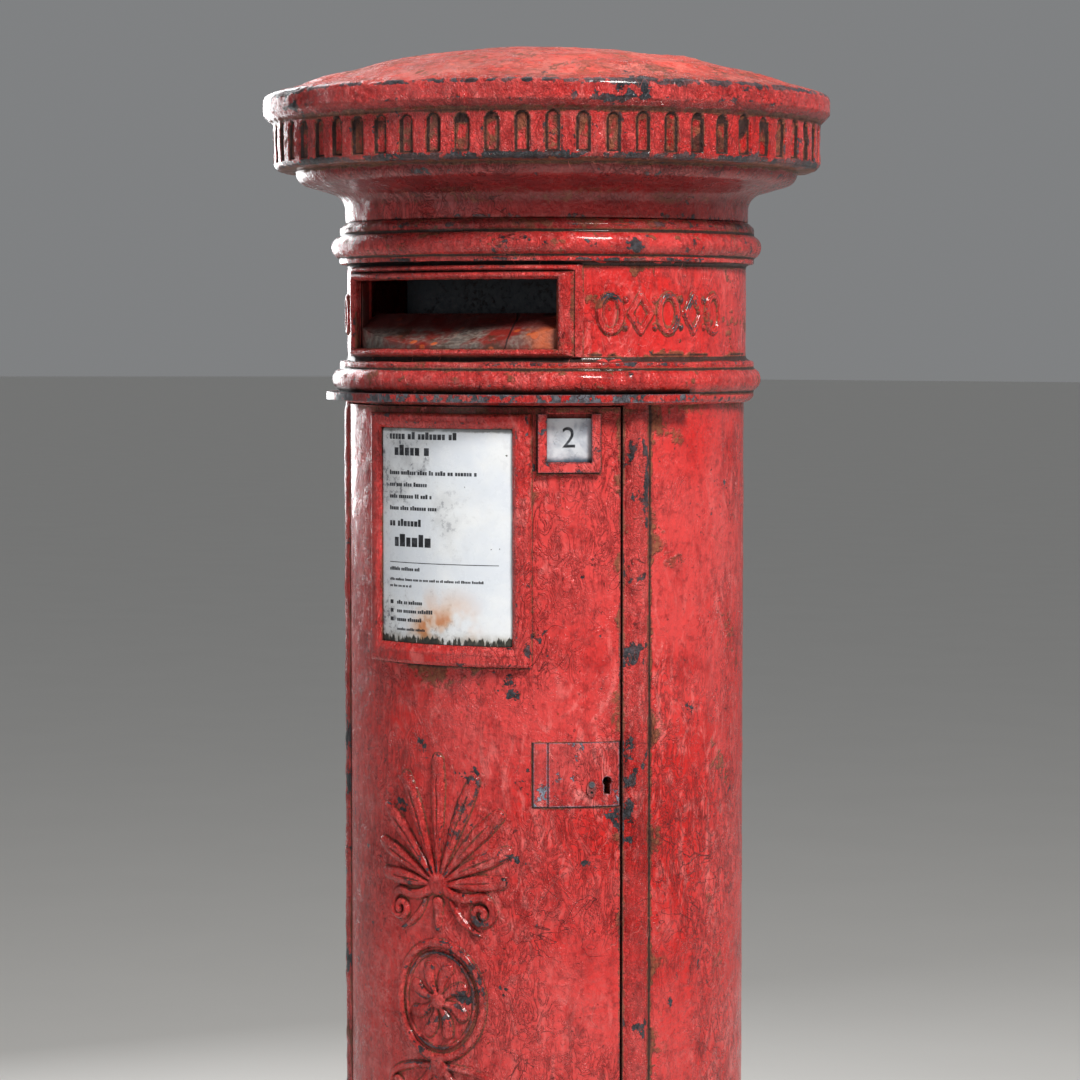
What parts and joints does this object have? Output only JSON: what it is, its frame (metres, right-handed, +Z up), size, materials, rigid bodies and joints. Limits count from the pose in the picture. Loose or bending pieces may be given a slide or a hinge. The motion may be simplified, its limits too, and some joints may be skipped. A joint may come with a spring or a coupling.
{
  "type": "post box",
  "caption": "Free-standing cylindrical cast-iron letter box with fluted cap, letter aperture and hinged collection door.",
  "frame": {"origin": "on the box's axis at ground level", "axes": "+Z up; -Y is the front with the letter aperture and door; +X is the lock side"},
  "size_m": [0.5467, 0.5468, 1.5994],
  "materials": {
    "paint_red": "gloss, many thick coats, worn",
    "paint_black": "gloss, worn",
    "worn_iron": "worn paint over rust",
    "dark_steel": "dull dark grey",
    "steel": "dull",
    "brass": "tarnished",
    "enamel_white": "vitreous enamel"
  },
  "bodies": {
    "shell": {"base": "paint_black", "barrel": "paint_red", "cap": "paint_red", "drip_strip": "paint_red", "aperture_surround": "paint_red", "letter_chute": "worn_iron", "letter_hood": "dark_steel", "hood_screws": "steel", "cap_bolts": "steel", "base_bolts": "steel", "base_nuts": "steel", "floor_plate": "dark_steel", "hinge_pins": "steel", "lock_keeper": "brass", "keeper_screws": "steel", "guard_brackets": "worn_iron", "guard_pins": "steel"},
    "door": {"door": "paint_red", "notice_frame": "paint_red", "notice_plate": "enamel_white", "notice_screws": "steel", "tablet_holder": "paint_red", "lock_plate": "paint_red", "drop_rivet": "worn_iron", "lock_case": "brass", "lock_cover": "brass", "lock_screws": "steel"},
    "keyhole_drop": {"keyhole_drop": "worn_iron"},
    "tablet": {"number_tablet": "enamel_white"},
    "bolt": {"lock_bolt": "brass"},
    "guard": {"wire_guard": "dark_steel"}
  },
  "joints": [
    {"name": "door_swing", "type": "hinge", "parent": "shell", "child": "door", "pos_m": [-0.14146, -0.11688, 0.775], "axis": [0, 0, -1], "range_deg": [0, 100]},
    {"name": "guard_swing", "type": "hinge", "parent": "shell", "child": "guard", "pos_m": [-0.122, -0.1, 0.755], "axis": [0, 0, -1], "range_deg": [0, 86]},
    {"name": "bolt_throw", "type": "slide", "parent": "door", "child": "bolt", "axis": [0.7242, 0.6896, 0], "range_m": [0, 0.014]},
    {"name": "tablet_lift", "type": "slide", "parent": "door", "child": "tablet", "axis": [0, 0, 1], "range_m": [0, 0.0045]},
    {"name": "keyhole_drop_swing", "type": "hinge", "parent": "door", "child": "keyhole_drop", "pos_m": [0.13403, -0.13734, 0.91], "axis": [0.6984, -0.7157, 0], "range_deg": [-100, 100]}
  ],
  "couplings": [
    {"joint": "guard_swing", "follows": "door_swing", "ratio": 0.85}
  ]
}
